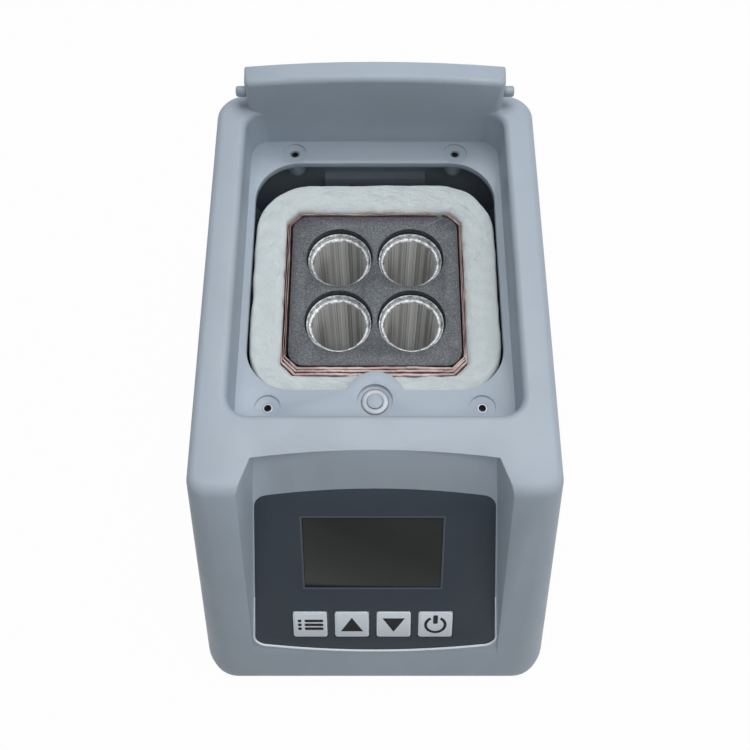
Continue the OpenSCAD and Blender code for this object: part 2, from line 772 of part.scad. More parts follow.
module board_spacers() {
    color([0.85, 0.85, 0.82]) for (p = power_fixings) translate([p[0], p[1], bottom_z]) {
        cylinder(d = 6, h = power_z - bottom_z);
        cylinder(d = 3, h = power_z - bottom_z + pcb_t);
        translate([0, 0, power_z - bottom_z + pcb_t]) cylinder(d1 = 4.4, d2 = 3, h = 1.6);
    }
}

core_w = 30;
core_l = 26;
core_h = 10;
module transformer() {
    color([0.3, 0.3, 0.32]) translate([12 - power_w / 2, power_y - core_l / 2, power_z + pcb_t]) {
        cube([core_w, core_l, core_h]);
        translate([4, -1.5, 1]) cube([core_w - 8, core_l + 3, core_h - 2]);
    }
}

relay_w = 28;
relay_l = 14;
relay_h = 10;
module relay() {
    color([0.2, 0.25, 0.35]) translate([power_w / 8, power_y - relay_l / 2 - 1, power_z + pcb_t])
        cube([relay_w, relay_l, relay_h]);
}

module mains_inlet() {
    color([0.1, 0.1, 0.11]) translate([0, inlet_back_y, inlet_z]) rotate([-90, 0, 0]) difference() {
        union() {
            linear_extrude(inlet_flange_t) rounded(inlet_frame_w - 4.5, inlet_h + 3.5, 2.5);
            translate([0, 0, -16]) linear_extrude(17)
                square([inlet_w - inlet_fit, inlet_h - inlet_fit], center = true);
        }
        translate([0, 3, -12]) linear_extrude(20) square([inlet_w - 3.5, inlet_h - 8.5], center = true);
        translate(drawer_place) linear_extrude(20) square([drawer_w, drawer_h], center = true);
        for (s = [-1, 1]) translate([s * inlet_screw_pitch / 2, 0, -1])
            cylinder(d = inlet_screw_d + 0.2, h = 10);
    }
    color([0.75, 0.7, 0.5]) translate([0, inlet_back_y - 12 - e, inlet_z]) rotate([-90, 0, 0])
        for (p = [[-7, 4.5], [0, 1], [7, 4.5]]) translate([p[0] - 1, p[1] - 2, 0]) cube([2, 4, 9]);
}

module fuse_drawer() {
    color([0.14, 0.14, 0.15]) translate([0, inlet_back_y, inlet_z]) rotate([-90, 0, 0])
        translate(drawer_place) linear_extrude(drawer_depth + inlet_flange_t + 0.4)
            square([drawer_w, drawer_h], center = true);
}

module inlet_screws() {
    color([0.6, 0.6, 0.62]) for (s = [-1, 1])
        translate([s * inlet_screw_pitch / 2, inlet_back_y + inlet_flange_t, inlet_z])
            rotate([-90, 0, 0]) rotate_extrude() polygon([
                [0, -inlet_screw_l], [inlet_screw_d / 2, -inlet_screw_l], [inlet_screw_d / 2, 0],
                [2.8, 0], [2.6, 0.8], [0, 1.4]]);
}

housing();
hinge_pins();
catch_magnet();
threaded_inserts();
base_plate();
feet();
base_screws();
heating_block();
well_liners();
heater_film();
fibre_wool();
insulation_board();
block_tray();
tray_pillars();
tray_screws();
temperature_probe();
thermal_cutout();
panel_overlay();
display_glass();
display_module();
control_board();
key_switches();
board_screws();
key_cap(keys_x[0]);  // key_menu
key_cap(keys_x[1]);  // key_up
key_cap(keys_x[2]);  // key_down
key_cap(keys_x[3]);  // key_power
power_board();
board_spacers();
transformer();
relay();
mains_inlet();
fuse_drawer();
inlet_screws();
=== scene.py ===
import math
import random

import bmesh
import bpy
from mathutils import Matrix, Vector, noise

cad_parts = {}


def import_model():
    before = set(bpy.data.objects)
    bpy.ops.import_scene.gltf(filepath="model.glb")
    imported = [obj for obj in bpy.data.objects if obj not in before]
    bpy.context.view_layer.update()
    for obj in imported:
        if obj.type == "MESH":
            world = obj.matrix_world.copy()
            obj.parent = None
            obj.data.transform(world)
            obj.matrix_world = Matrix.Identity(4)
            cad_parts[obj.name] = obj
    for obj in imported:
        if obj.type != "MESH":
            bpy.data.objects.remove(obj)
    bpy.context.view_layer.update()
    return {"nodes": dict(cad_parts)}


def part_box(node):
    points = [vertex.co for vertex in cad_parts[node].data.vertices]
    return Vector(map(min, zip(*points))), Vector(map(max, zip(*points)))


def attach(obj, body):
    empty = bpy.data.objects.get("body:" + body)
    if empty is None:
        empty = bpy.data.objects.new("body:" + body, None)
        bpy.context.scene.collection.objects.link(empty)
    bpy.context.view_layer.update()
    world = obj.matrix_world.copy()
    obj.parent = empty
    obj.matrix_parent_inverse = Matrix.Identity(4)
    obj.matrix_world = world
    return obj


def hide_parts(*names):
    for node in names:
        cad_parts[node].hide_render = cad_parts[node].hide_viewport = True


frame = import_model()
nodes = frame["nodes"]
MM = 0.001

# Driving sizes, as in the part's source, in metres. A name that ends in U is a place
# down the panel's slope, from its top line.
PANEL_SLOPE = math.radians(52.4)
PANEL_TOP = Vector((0, -52.9, 114.0)) * MM
CONTROLS_X = -1 * MM
KEY_U = 93.9 * MM
KEY_PROUD = 0.5 * MM
DISPLAY_U = 53.2 * MM
DISPLAY_SIZE = (59.5 * MM, 38.5 * MM)
OVERLAY_TOP_U = 19.1 * MM
OVERLAY_LOW_U = OVERLAY_TOP_U + 92.3 * MM
OVERLAY_TOP_X = 49.8 * MM
OVERLAY_LOW_X = 54.5 * MM
OVERLAY_BOW = 4.2 * MM
OVERLAY_R = 6 * MM
WOOL_R = 27 * MM
WELL_PITCH = 33.7 * MM
LINER_MOUTH_DROP = 2.5 * MM
BORE_R = 12.4 * MM
MOUTH_R = 14 * MM
LINER_FLOOR = 4 * MM


# Materials

def linear(r, g, b):
    """An sRGB colour given in 0 to 255, as the linear colour a shader takes."""
    return tuple(
        c / 255 / 12.92 if c / 255 <= 0.04045 else ((c / 255 + 0.055) / 1.055) ** 2.4
        for c in (r, g, b)
    ) + (1.0,)


def math_node(tree, operation, first, second):
    """A math node of two sockets; the second may be a plain number instead."""
    made = tree.nodes.new("ShaderNodeMath")
    made.operation = operation
    tree.links.new(first, made.inputs[0])
    if isinstance(second, float):
        made.inputs[1].default_value = second
    else:
        tree.links.new(second, made.inputs[1])
    return made.outputs[0]


class Shader:
    """A node material built from small steps, each returning an output socket."""

    def __init__(self, name):
        self.mat = bpy.data.materials.new(name)
        self.mat.use_nodes = True
        self.tree = self.mat.node_tree
        self.bsdf = self.tree.nodes["Principled BSDF"]
        self.coords = self.tree.nodes.new("ShaderNodeTexCoord").outputs["Object"]

    def node(self, kind, **values):
        made = self.tree.nodes.new(kind)
        for key, value in values.items():
            setattr(made, key, value)
        return made

    def link(self, source, target):
        self.tree.links.new(source, target)

    def stretch(self, scale, turn=0.0, source=None):
        """Coordinates scaled by each axis of scale, turned about Z before that."""
        mapping = self.node("ShaderNodeMapping")
        mapping.vector_type = "TEXTURE" if turn else "POINT"
        if turn:
            mapping.inputs["Rotation"].default_value = (0, 0, turn)
            scale = tuple(1 / c for c in scale)
        mapping.inputs["Scale"].default_value = scale
        self.link(source or self.coords, mapping.inputs["Vector"])
        return mapping.outputs["Vector"]

    def noise(self, scale, detail=3.0, rough=0.55, vector=None, distortion=0.0):
        made = self.node("ShaderNodeTexNoise")
        made.inputs["Scale"].default_value = scale
        made.inputs["Detail"].default_value = detail
        made.inputs["Roughness"].default_value = rough
        made.inputs["Distortion"].default_value = distortion
        self.link(vector or self.coords, made.inputs["Vector"])
        return made.outputs["Fac"]

    def voronoi(self, scale):
        made = self.node("ShaderNodeTexVoronoi")
        made.inputs["Scale"].default_value = scale
        self.link(self.coords, made.inputs["Vector"])
        return made.outputs["Distance"]

    def ramp(self, factor, stops):
        """A colour for the factor, from (place, colour) stops."""
        made = self.node("ShaderNodeValToRGB")
        ramp = made.color_ramp
        for place, colour in stops[2:]:
            ramp.elements.new(place)
        for element, (place, colour) in zip(ramp.elements, sorted(stops)):
            element.position = place
            element.color = colour
        self.link(factor, made.inputs["Fac"])
        return made.outputs["Color"]

    def range(self, factor, low, high, out_low, out_high):
        """The factor from low to high, as a number from out_low to out_high."""
        made = self.node("ShaderNodeMapRange")
        ends = {"From Min": low, "From Max": high, "To Min": out_low, "To Max": out_high}
        for name, value in ends.items():
            made.inputs[name].default_value = value
        self.link(factor, made.inputs["Value"])
        return made.outputs["Result"]

    def blend(self, factor, first, second):
        """Mixes the first colour with the second, which is a socket or a plain colour."""
        made = self.node("ShaderNodeMix", data_type="RGBA")
        self.link(factor, made.inputs["Factor"])
        self.link(first, made.inputs[6])
        if isinstance(second, tuple):
            made.inputs[7].default_value = second
        else:
            self.link(second, made.inputs[7])
        return made.outputs[2]

    def bump(self, height, strength, distance, under=None):
        made = self.node("ShaderNodeBump")
        made.inputs["Strength"].default_value = strength
        made.inputs["Distance"].default_value = distance
        self.link(height, made.inputs["Height"])
        if under:
            self.link(under, made.inputs["Normal"])
        return made.outputs["Normal"]

    def set(self, **values):
        """Sets inputs of the surface; an underscore in a name stands for a space."""
        for key, value in values.items():
            self.bsdf.inputs[key.replace("_", " ")].default_value = value

    def wire(self, **sockets):
        """Links sockets to inputs of the surface, named as in set."""
        for key, socket in sockets.items():
            self.link(socket, self.bsdf.inputs[key.replace("_", " ")])


def tint(colour, factor):
    return tuple(min(1.0, c * factor) for c in colour[:3]) + (1.0,)


def moulded(name, colour, rough=0.42, grain=2600, depth=0.00006, spread=0.035):
    """Moulded plastic: a fine spark-eroded grain, faint mottling and uneven gloss."""
    s = Shader(name)
    broad = s.noise(26, 4)
    s.wire(
        Base_Color=s.ramp(broad, [(0.3, tint(colour, 1 - spread)), (0.7, tint(colour, 1 + spread))]),
        Roughness=s.range(s.noise(90, 5), 0.3, 0.7, rough - 0.05, rough + 0.07),
        Normal=s.bump(s.noise(grain, 2), 0.35, depth),
    )
    s.set(IOR=1.47)
    return s.mat


def metal(name, colour, rough, stretch, depth=0.00003, spread=0.06):
    """Worked metal: fine tool marks along one direction, as stretch sets them."""
    s = Shader(name)
    marks = s.noise(1.0, 5, 0.65, s.stretch(stretch))
    patches = s.noise(60, 3)
    s.wire(
        Base_Color=s.ramp(marks, [(0.25, tint(colour, 1 - spread)), (0.75, tint(colour, 1 + spread))]),
        Roughness=s.range(patches, 0.3, 0.7, max(rough - 0.06, 0.03), rough + 0.08),
        Normal=s.bump(marks, 0.5, depth),
    )
    s.set(Metallic=1.0)
    return s.mat


def turned_metal():
    """Turned aluminium: bright bores, streaked and stretching each reflection upward, and
    rims and other upward faces painted darker, a painted shade that dims the lamp's reflection there."""
    s = Shader("liner_turned")
    around = s.node("ShaderNodeUVMap", uv_map="turning").outputs[0]
    rings = s.noise(1.0, 4, 0.7, s.stretch((4, 4, 6000)))
    haze = s.noise(1.0, 4, 0.6, s.stretch((110, 0.6, 1), source=around))
    marks = s.noise(1.0, 3, 0.6, s.stretch((520, 520, 10)))
    facing = s.node("ShaderNodeSeparateXYZ")
    s.link(s.node("ShaderNodeNewGeometry").outputs["Normal"], facing.inputs[0])
    bore = s.ramp(haze, [(0.34, linear(176, 177, 174)), (0.6, linear(252, 252, 250))])
    # Upward-facing faces (rim tops, mouth steps, floor) take this darker colour: painted shade that
    # tones down the overhead lamp's reflection.
    rim = s.ramp(marks, [(0.35, linear(104, 107, 110)), (0.6, linear(196, 199, 202))])
    s.wire(
        Base_Color=s.blend(s.range(facing.outputs["Z"], 0.15, 0.5, 0, 1), bore, rim),
        Roughness=s.range(haze, 0.3, 0.7, 0.34, 0.5),
        Normal=s.bump(haze, 0.35, 0.0002, s.bump(rings, 0.25, 0.00004)),
    )
    tangent = s.node("ShaderNodeTangent", direction_type="UV_MAP", uv_map="turning")
    s.wire(Tangent=tangent.outputs[0])
    s.set(Metallic=1.0, Anisotropic=0.9, Anisotropic_Rotation=0.25)
    return s.mat


def block_metal():
    """Dull dark aluminium with a fine milled speckle and a few pale rubs."""
    s = Shader("block_metal")
    speck = s.noise(1500, 5, 0.8)
    cloud = s.noise(70, 4, 0.6)
    base = linear(78, 82, 86)
    colour = s.ramp(speck, [
        (0.34, tint(base, 0.3)), (0.5, base), (0.62, tint(base, 1.9)), (0.74, linear(170, 172, 176)),
    ])
    for turn, scale in ((0.5, (22, 900, 22)), (-0.9, (30, 1300, 30))):
        scratch = s.noise(1.0, 3, 0.6, s.stretch(scale, turn))
        colour = s.blend(s.range(scratch, 0.69, 0.76, 0, 0.35), colour, linear(150, 152, 156))
    s.wire(
        Base_Color=colour,
        Roughness=s.range(cloud, 0.3, 0.7, 0.42, 0.58),
        Normal=s.bump(speck, 0.5, 0.0001),
    )
    s.set(Metallic=0.3)
    return s.mat


def film_copper():
    """Brown copper foil: creased and a little tarnished, with brighter folds."""
    s = Shader("film_copper")
    creases = s.noise(260, 6, 0.7, distortion=1.2)
    stain = s.noise(70, 4)
    s.wire(
        Base_Color=s.ramp(stain, [
            (0.3, linear(126, 102, 99)), (0.5, linear(166, 142, 138)), (0.72, linear(200, 182, 177)),
        ]),
        Roughness=s.range(creases, 0.3, 0.7, 0.34, 0.55),
        Normal=s.bump(creases, 0.8, 0.0004),
    )
    s.set(Metallic=0.25)
    return s.mat


def fibre(name, colour, strand=1.0):
    """Ceramic fibre: soft white, streaked by crossing strands."""
    s = Shader(name)
    first = s.noise(1.0, 6, 0.75, s.stretch((900 * strand, 160, 300)))
    second = s.noise(1.0, 6, 0.75, s.stretch((160, 900 * strand, 300)))
    both = math_node(s.tree, "MAXIMUM", first, second)
    lumps = s.noise(150, 5)
    s.wire(
        Base_Color=s.ramp(lumps, [(0.25, tint(colour, 0.9)), (0.7, colour)]),
        Normal=s.bump(both, 0.8, 0.0005, s.bump(lumps, 0.5, 0.0011)),
    )
    s.set(Roughness=0.95, Sheen_Weight=0.35, Sheen_Roughness=0.6, Subsurface_Weight=0.2)
    s.bsdf.inputs["Subsurface Radius"].default_value = (0.002, 0.002, 0.002)
    return s.mat


def overlay_film():
    """Printed polyester film with a fine matte texture."""
    s = Shader("overlay_film")
    colour = linear(57, 66, 76)
    s.wire(
        Base_Color=s.ramp(s.noise(40, 4), [(0.3, tint(colour, 0.95)), (0.7, tint(colour, 1.06))]),
        Roughness=s.range(s.noise(500, 4), 0.3, 0.7, 0.42, 0.52),
        Normal=s.bump(s.voronoi(3800), 0.25, 0.00005),
    )
    s.set(Specular_IOR_Level=0.25)
    return s.mat


def display_face():
    """Unlit liquid crystal: dark olive grey, faintly uneven."""
    s = Shader("display_face")
    colour = linear(47, 49, 47)
    s.wire(
        Base_Color=s.ramp(s.noise(30, 2), [(0.3, tint(colour, 0.92)), (0.7, tint(colour, 1.06))]),
        Roughness=s.range(s.noise(200, 2), 0.3, 0.7, 0.3, 0.36),
    )
    return s.mat


def window_glass():
    """Smoked window: the unlit display shows through it only as an even dark olive grey."""
    s = Shader("window_glass")
    colour = linear(48, 50, 49)
    s.wire(
        Base_Color=s.ramp(s.noise(30, 2), [(0.3, tint(colour, 0.94)), (0.7, tint(colour, 1.05))]),
        Roughness=s.range(s.noise(120, 3), 0.3, 0.7, 0.2, 0.28),
    )
    s.set(IOR=1.45, Specular_IOR_Level=0.2)
    return s.mat


def circuit():
    """Green solder mask with traces that show as a faint relief."""
    s = Shader("circuit")
    traces = s.voronoi(420)
    s.wire(
        Base_Color=s.ramp(traces, [(0.35, linear(24, 92, 58)), (0.5, linear(34, 118, 72))]),
        Roughness=s.range(traces, 0, 1, 0.3, 0.45),
        Normal=s.bump(traces, 0.3, 0.0001),
    )
    return s.mat


HOUSING = linear(167, 179, 191)
STEEL = linear(190, 191, 194)
PLASTIC_BLACK = linear(34, 35, 37)

housing_mat = moulded("housing_plastic", HOUSING, rough=0.45)
pin_mat = moulded("pin_plastic", linear(160, 170, 181), rough=0.35)
key_mat = moulded("key_plastic", linear(226, 234, 242), rough=0.4, grain=3200, depth=0.00004)
black_mat = moulded("black_plastic", PLASTIC_BLACK, rough=0.5)
base_mat = moulded("base_plastic", linear(60, 64, 69), rough=0.6)
rubber_mat = moulded("foot_rubber", linear(30, 30, 31), rough=0.8, grain=900, depth=0.0001)
nylon_mat = moulded("nylon", linear(214, 212, 204), rough=0.5)
blue_mat = moulded("relay_blue", linear(52, 74, 104), rough=0.4)
board_mat = fibre("board_fibre", linear(214, 210, 198), 0.4)
ceramic_mat = moulded("ceramic", linear(222, 218, 208), rough=0.55, grain=1400)
screw_mat = metal("screw_zinc", STEEL, 0.32, (400, 400, 90))
sheet_mat = metal("sheet_zinc", linear(196, 198, 200), 0.35, (40, 900, 40))
brass_mat = metal("brass", linear(206, 176, 108), 0.3, (90, 90, 1400))
magnet_mat = metal("magnet_nickel", linear(142, 147, 153), 0.5, (160, 160, 160), 0.00002)
insert_mat = metal("insert_metal", linear(146, 148, 152), 0.42, (300, 300, 2400), 0.00008)
liner_mat = turned_metal()

MATERIALS = {
    "housing": housing_mat, "hinge_pins": pin_mat, "catch_magnet": magnet_mat,
    "threaded_inserts": insert_mat, "base_plate": base_mat, "feet": rubber_mat,
    "base_screws": screw_mat, "heating_block": block_metal(), "well_liners": liner_mat,
    "heater_film": film_copper(), "fibre_wool": fibre("wool_fibre", linear(212, 220, 221)),
    "insulation_board": board_mat, "block_tray": sheet_mat, "tray_pillars": brass_mat,
    "tray_screws": screw_mat, "temperature_probe": screw_mat, "thermal_cutout": ceramic_mat,
    "panel_overlay": overlay_film(), "display_glass": window_glass(),
    "display_module": display_face(), "control_board": circuit(), "key_switches": black_mat,
    "board_screws": screw_mat, "key_menu": key_mat, "key_up": key_mat, "key_down": key_mat,
    "key_power": key_mat, "power_board": circuit(), "board_spacers": nylon_mat,
    "transformer": black_mat, "relay": blue_mat, "mains_inlet": black_mat,
    "fuse_drawer": black_mat, "inlet_screws": screw_mat,
}


def round_edges(piece, width, degrees):
    """A small rounding of each edge that is sharper than the angle."""
    bevel = piece.modifiers.new("edge", "BEVEL")
    bevel.width = width
    bevel.segments = 2
    bevel.limit_method = "ANGLE"
    bevel.angle_limit = math.radians(degrees)
    bevel.harden_normals = True


def dress(name, material, edge):
    """Gives a CAD node its material and a small rounding of its edges."""
    piece = nodes[name]
    piece.data.materials.clear()
    piece.data.materials.append(material)
    for polygon in piece.data.polygons:
        polygon.material_index = 0
        polygon.use_smooth = True
    weld = piece.modifiers.new("weld", "WELD")
    weld.merge_threshold = 0.002 * MM
    round_edges(piece, edge, 28)


EDGES = {"housing": 0.5 * MM, "heating_block": 0.6 * MM, "well_liners": 0.25 * MM,
         "hinge_pins": 0.3 * MM, "catch_magnet": 0.3 * MM, "feet": 0.4 * MM,
         "panel_overlay": 0.2 * MM}
FINE_EDGE = 0.15 * MM
for node_name, node_mat in MATERIALS.items():
    dress(node_name, node_mat, EDGES.get(node_name, FINE_EDGE))


# Places on the panel, and helpers that make meshes

def panel_matrix(x, u, rise=0.0):
    """The panel's own axes at x and u down its slope: X across, Y up the slope, Z outward."""
    turn = Matrix.Rotation(PANEL_SLOPE, 4, "X")
    return Matrix.Translation(PANEL_TOP) @ turn @ Matrix.Translation((x, -u, rise))


def mesh_piece(name, bm, material, body, matrix=None, smooth=False):
    """A piece of the scene that rides on a body, from a mesh whose normals are put right."""
    bmesh.ops.recalc_face_normals(bm, faces=bm.faces)
    mesh = bpy.data.meshes.new(name)
    bm.to_mesh(mesh)
    bm.free()
    piece = bpy.data.objects.new(name, mesh)
    bpy.context.scene.collection.objects.link(piece)
    if matrix is not None:
        piece.matrix_world = matrix
    mesh.materials.append(material)
    for polygon in mesh.polygons:
        polygon.use_smooth = smooth
    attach(piece, body)
    return piece


def prism(bm, points, z0, z1):
    """A flat shape with straight sides, from its outline."""
    low = [bm.verts.new((x, y, z0)) for x, y in points]
    high = [bm.verts.new((x, y, z1)) for x, y in points]
    bm.faces.new(list(reversed(low)))
    bm.faces.new(high)
    for i in range(len(points)):
        j = (i + 1) % len(points)
        bm.faces.new((low[i], low[j], high[j], high[i]))


def tube(bm, rows, slots=None):
    """Sides between neighbouring rows of corners, and a face over each end. Slots give the
    material of each side."""
    for near, far in zip(rows, rows[1:]):
        for k in range(len(near)):
            n = (k + 1) % len(near)
            side = bm.faces.new((near[k], far[k], far[n], near[n]))
            if slots:
                side.material_index = slots[k]
    bm.faces.new(rows[0])
    bm.faces.new(list(reversed(rows[-1])))


def rounded_points(w, h, r, x=0.0, y=0.0, steps=6):
    """Outline of a rectangle with round corners, centred on x and y."""
    points = []
    for turn, (sx, sy) in enumerate(((1, 1), (-1, 1), (-1, -1), (1, -1))):
        for i in range(steps + 1):
            a = math.radians(90 * (turn + i / steps))
            points.append((
                x + sx * (w / 2 - r) + r * math.cos(a),
                y + sy * (h / 2 - r) + r * math.sin(a),
            ))
    return points


def arc_band(radius, width, start, end, steps=28):
    """Outline of an arc with some width, from one angle to another in degrees."""
    angles = [math.radians(start + (end - start) * i / steps) for i in range(steps + 1)]
    far, near = radius + width / 2, radius - width / 2
    outer = [(far * math.cos(a), far * math.sin(a)) for a in angles]
    inner = [(near * math.cos(a), near * math.sin(a)) for a in reversed(angles)]
    return outer + inner


# Well liners, turned in one piece each

def lathe(name, profile, centre, material, turns=96):
    """A solid of revolution about Z from (radius, height) points, with U running round it."""
    bm = bmesh.new()
    layer = bm.loops.layers.uv.new("turning")
    angles = [2 * math.pi * i / turns for i in range(turns)]
    rings = [[bm.verts.new((r * math.cos(a), r * math.sin(a), z)) for a in angles]
             for r, z in profile]
    total = len(rings)
    for j in range(total):
        below, above = rings[j], rings[(j + 1) % total]
        for i in range(turns):
            k = (i + 1) % turns
            face = bm.faces.new((below[i], below[k], above[k], above[i]))
            for loop, u, v in zip(face.loops, (i, i + 1, i + 1, i), (j, j, j + 1, j + 1)):
                loop[layer].uv = (u / turns, v / total)
    place = Matrix.Translation(centre)
    piece = mesh_piece(name, bm, material, "case", place, smooth=True)
    round_edges(piece, FINE_EDGE, 25)
    return piece


block_low, block_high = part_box("heating_block")
liner_low, liner_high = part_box("well_liners")
BLOCK_Y = (block_low.y + block_high.y) / 2
LINER_R = liner_high.x - WELL_PITCH / 2
AXIS_R = 0.01 * MM


def liner_profile(rim):
    """Half section of a liner that is rim high: outside, chamfered mouth, step, bore, floor."""
    step = rim - LINER_MOUTH_DROP
    return [
        (AXIS_R, 0), (LINER_R - 0.3 * MM, 0), (LINER_R, 0.3 * MM), (LINER_R, rim - 0.4 * MM),
        (LINER_R - 0.3 * MM, rim), (MOUTH_R + 0.5 * MM, rim - 0.16 * MM),
        (MOUTH_R, rim - 0.75 * MM), (MOUTH_R, step + 0.2 * MM), (BORE_R + 0.5 * MM, step),
        (BORE_R, step - 0.55 * MM), (BORE_R, LINER_FLOOR + 0.8 * MM),
        (BORE_R - 0.8 * MM, LINER_FLOOR), (AXIS_R, LINER_FLOOR),
    ]


def turned_liners():
    """One liner in each well."""
    profile = liner_profile(liner_high.z - liner_low.z)
    made = []
    for side, sx in (("left", -1), ("right", 1)):
        for end, sy in (("front", -1), ("rear", 1)):
            name = "liner_%s_%s" % (end, side)
            centre = (sx * WELL_PITCH / 2, BLOCK_Y + sy * WELL_PITCH / 2, liner_low.z)
            made.append(lathe(name, profile, centre, liner_mat))
    return made


liners = turned_liners()
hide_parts("well_liners")


# Heater film: three layers of foil wrapped loosely round the block, thickest in front

# GAPS is how far the innermost layer stands off the block, on each side. A layer's grow is how
# much further out it lies, and LAYER how many times that each side is.
BLOCK_HALF = (block_high.x - block_low.x) / 2
GAPS = {"left": 1.3 * MM, "right": 1.0 * MM, "front": 1.5 * MM, "rear": 0.8 * MM}
LAYER = {"left": 1.5, "right": 1.1, "front": 2.6, "rear": 0.9}
LAST_LAYER = 1.1 * MM
FILM_CUT = 5.6 * MM
FILM_THICK = 0.22 * MM
FRONT_FOLD = 0.75 * MM
FILM_RISE = 0.6 * MM
FILM_REACH_DOWN = 26 * MM
OPENING_START = 0.035


def wrap_path(grow, step=1.2 * MM):
    """Closed path round the block: straight sides at their own gaps, with cut corners."""
    reach = {side: BLOCK_HALF + GAPS[side] + grow * LAYER[side] for side in GAPS}
    x0, x1 = -reach["left"], reach["right"]
    y0, y1 = -reach["front"], reach["rear"]
    cut = FILM_CUT + 0.6 * grow
    corners = [(x1, y1 - cut), (x1 - cut, y1), (x0 + cut, y1), (x0, y1 - cut),
               (x0, y0 + cut), (x0 + cut, y0), (x1 - cut, y0), (x1, y0 + cut)]
    points = []
    for a, b in zip(corners, corners[1:] + corners[:1]):
        a, b = Vector(a), Vector(b)
        count = max(2, int((b - a).length / step))
        points += [a.lerp(b, i / count) for i in range(count)]
    return points


def wobble(point, scale, seed, size):
    """Smooth random offset along a path, up to about size either way."""
    return noise.noise(Vector((point.x * scale, point.y * scale, seed))) * size


def film_layer(name, grow, drop, seed, opening):
    """One foil layer round the block, with a short opening in its rear right."""
    path = wrap_path(grow)
    start = int(len(path) * OPENING_START)
    path = path[start + opening:] + path[:start]
    bm = bmesh.new()
    rows = []
    for i, point in enumerate(path):
        before, after = path[max(i - 1, 0)], path[min(i + 1, len(path) - 1)]
        along = (after - before).normalized()
        out = Vector((along.y, -along.x))
        wave = wobble(point, 60, seed, 0.35 * MM) + wobble(point, 320, seed + 2, 0.16 * MM)
        ragged = wobble(point, 140, seed + 5, 0.5 * MM) + wobble(point, 520, seed + 8, 0.3 * MM)
        frontal = min(max((-point.y - BLOCK_HALF + 6 * MM) / (6 * MM), 0), 1)
        thick = FILM_THICK + FRONT_FOLD * frontal
        near = point + out * (wave - thick / 2)
        far = point + out * (wave + thick / 2)
        top = block_high.z + FILM_RISE - drop + ragged
        low = block_high.z - FILM_REACH_DOWN
        section = ((near, low), (near, top), (far, top), (far, low))
        rows.append([bm.verts.new((p.x, p.y + BLOCK_Y, z)) for p, z in section])
    tube(bm, rows)
    return mesh_piece(name, bm, MATERIALS["heater_film"], "case")


film_inner = film_layer("heater_film_inner", 0.0, 0.0, 3, 2)
film_layer("heater_film_middle", LAST_LAYER * 0.45, 0.25 * MM, 7, 4)
film_layer("heater_film_outer", LAST_LAYER, 0.6 * MM, 11, 6)
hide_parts("heater_film")


# Fibre wool: a soft ring with a lumpy crown and loose strands

wool_low, wool_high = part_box("fibre_wool")
WOOL_HALF = (wool_high.x - wool_low.x) / 2
WOOL_GAP = 0.3 * MM
WOOL_LUMPS = 0.7 * MM
WOOL_TUFTS = 0.22 * MM
WOOL_CROWN = 0.6 * MM
WOOL_SHOULDER = 2.6 * MM
STRAND_LIE = 0.03 * MM
STRAND_ARCH = 0.12 * MM
strand_mat = moulded("strand", linear(226, 232, 233), rough=0.6, depth=0.00001)


def square_reach(angle, half, r):
    """Distance from the centre to a rounded square's edge, in the direction of angle."""
    c, s = abs(math.cos(angle)), abs(math.sin(angle))
    low, high = 0.0, 2 * half
    for _ in range(26):
        mid = (low + high) / 2
        x, y = mid * c, mid * s
        over = math.hypot(max(x - half + r, 0), max(y - half + r, 0)) - r
        low, high = (mid, high) if over < 0 and max(x, y) < half else (low, mid)
    return low


def wool_edges(angle):
    """Distances from the centre to the wool's inner and outer edge, in the direction of angle."""
    c, s = math.cos(angle), math.sin(angle)
    across, along = ("left", "right")[c > 0], ("front", "rear")[s > 0]
    x = BLOCK_HALF + GAPS[across] + LAYER[across] * LAST_LAYER + WOOL_GAP
    y = BLOCK_HALF + GAPS[along] + LAYER[along] * LAST_LAYER + WOOL_GAP
    side = min(x / max(abs(c), 1e-6), y / max(abs(s), 1e-6))
    inner = min(side, (x + y - FILM_CUT) / (abs(c) + abs(s)))
    return inner, square_reach(angle, WOOL_HALF, WOOL_R)


def wool_top(x, y, across):
    """Height of the wool's top; across runs from 0 at the foil to 1 at the outer edge."""
    p = Vector((x, y, 0))
    lumps = noise.fractal(p * 45, 0.9, 2.0, 3) * WOOL_LUMPS
    tufts = noise.fractal(p * 240 + Vector((7, 3, 1)), 0.9, 2.0, 3) * WOOL_TUFTS
    crown = math.sin(math.pi * min(max(across, 0), 1)) ** 0.5
    front = min(max((-y - 0.7 * abs(x)) / (20 * MM), 0), 1)
    sink = (1.2 + 2.4 * front) * MM * (1 - min(across / 0.22, 1)) ** 2
    return wool_high.z - 0.8 * MM + WOOL_CROWN * crown - sink + lumps + tufts


def wool_shoulder(across):
    """How far the top has fallen at a place near the wool's outer edge."""
    edge = min(max(0, (across - 0.9) / 0.1), 0.999)
    return (1 - math.sqrt(1 - edge ** 2)) * WOOL_SHOULDER


def wool_ring(turns=420, steps=22):
    """The whole ring, from the foil out, with ragged edges and a lumpy top."""
    bm = bmesh.new()
    rings = []
    for i in range(turns):
        a = 2 * math.pi * i / turns
        c, s = math.cos(a), math.sin(a)
        inner, outer = wool_edges(a)
        inner += max(wobble(Vector((c, s)), 9, 4, 0.7 * MM), -0.2 * MM)
        outer += wobble(Vector((c, s)), 6, 9, 0.5 * MM) - 0.1 * MM
        column = [(inner, wool_low.z), (inner, wool_high.z - 9 * MM)]
        for k in range(steps + 1):
            t = k / steps
            r = inner + (outer - inner) * t
            column.append((r, wool_top(r * c, r * s, t) - wool_shoulder(t)))
        column += [(outer + 0.2 * MM, wool_high.z - 8 * MM), (outer, wool_low.z)]
        rings.append([bm.verts.new((r * c, r * s + BLOCK_Y, z)) for r, z in column])
    for i in range(turns):
        here, there = rings[i], rings[(i + 1) % turns]
        for k in range(len(here)):
            n = (k + 1) % len(here)
            bm.faces.new((here[k], there[k], there[n], here[n]))
    return mesh_piece("wool_ring", bm, MATERIALS["fibre_wool"], "case", smooth=True)


